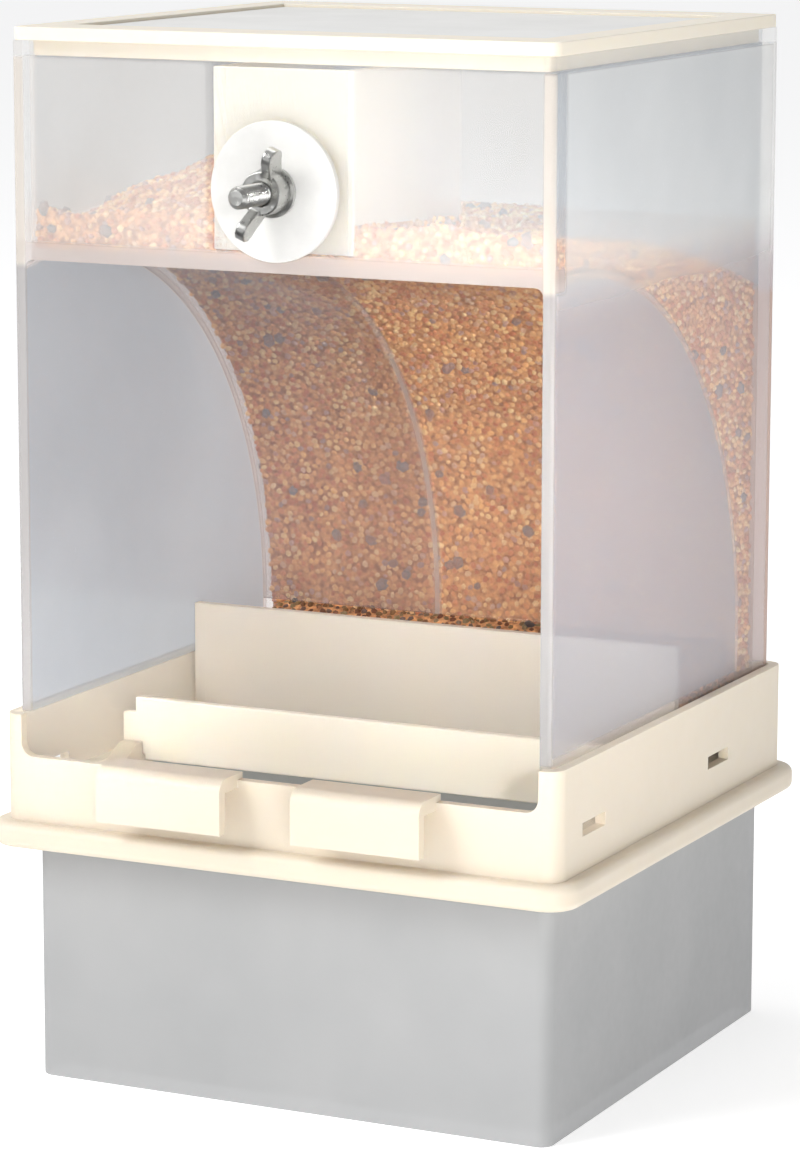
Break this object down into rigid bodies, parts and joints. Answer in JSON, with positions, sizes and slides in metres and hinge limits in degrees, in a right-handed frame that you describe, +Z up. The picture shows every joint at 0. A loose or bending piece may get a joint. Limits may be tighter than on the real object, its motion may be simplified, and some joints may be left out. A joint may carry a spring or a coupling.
{
  "type": "gravity seed feeder",
  "caption": "Small cage-hung gravity seed feeder: clear hopper with a curved baffle, cream collar with wire hooks, husk tray, lift-off lid and a clamp bolt with wing nut.",
  "frame": {"origin": "on the underside of the husk tray, at the middle of the hopper's footprint", "axes": "+Z up, -Y towards the feeding window, hooks and clamp bolt, +X to the right of someone facing the window"},
  "size_m": [0.1164, 0.122, 0.193],
  "materials": {
    "cream_plastic": "satin moulded polypropylene",
    "clear_plastic": "slightly hazy clear polystyrene",
    "frosted_plastic": "frosted translucent polypropylene",
    "lid_pane": "frosted translucent polystyrene",
    "zinc_steel": "bright zinc plate",
    "seed_mix": "dry millet husks"
  },
  "bodies": {
    "tray": {"husk_tray": "frosted_plastic"},
    "collar": {"collar": "cream_plastic", "seed_trough": "cream_plastic"},
    "husk_guard": {"husk_guard": "cream_plastic"},
    "hopper": {"hopper": "clear_plastic", "baffle": "clear_plastic", "bolt_shroud": "cream_plastic", "inner_washer": "zinc_steel", "bolt": "zinc_steel"},
    "washers": {"clamp_washer": "zinc_steel", "small_washer": "zinc_steel"},
    "wing_nut": {"wing_nut": "zinc_steel"},
    "lid": {"lid_frame": "cream_plastic", "lid_window": "lid_pane"}
  },
  "joints": [
    {"name": "collar_lift", "type": "slide", "parent": "tray", "child": "collar", "axis": [0, 0, 1], "range_m": [0, 0.035]},
    {"name": "husk_guard_lift", "type": "slide", "parent": "collar", "child": "husk_guard", "axis": [0, 0, 1], "range_m": [0, 0.03]},
    {"name": "hopper_lift", "type": "slide", "parent": "collar", "child": "hopper", "axis": [0, 0, 1], "range_m": [0, 0.045]},
    {"name": "lid_lift", "type": "slide", "parent": "hopper", "child": "lid", "axis": [0, 0, 1], "range_m": [0, 0.03]},
    {"name": "washers_slide", "type": "slide", "parent": "hopper", "child": "washers", "axis": [0, -1, 0], "range_m": [0, 0.0066]},
    {"name": "wing_nut_turn", "type": "hinge", "parent": "washers", "child": "wing_nut", "pos_m": [0, -0.053, 0.166], "axis": [0, -1, 0], "range_deg": [0, 3420]}
  ],
  "couplings": [
    {"joint": "wing_nut_turn", "follows": "washers_slide", "rad_per_m": 8976}
  ]
}
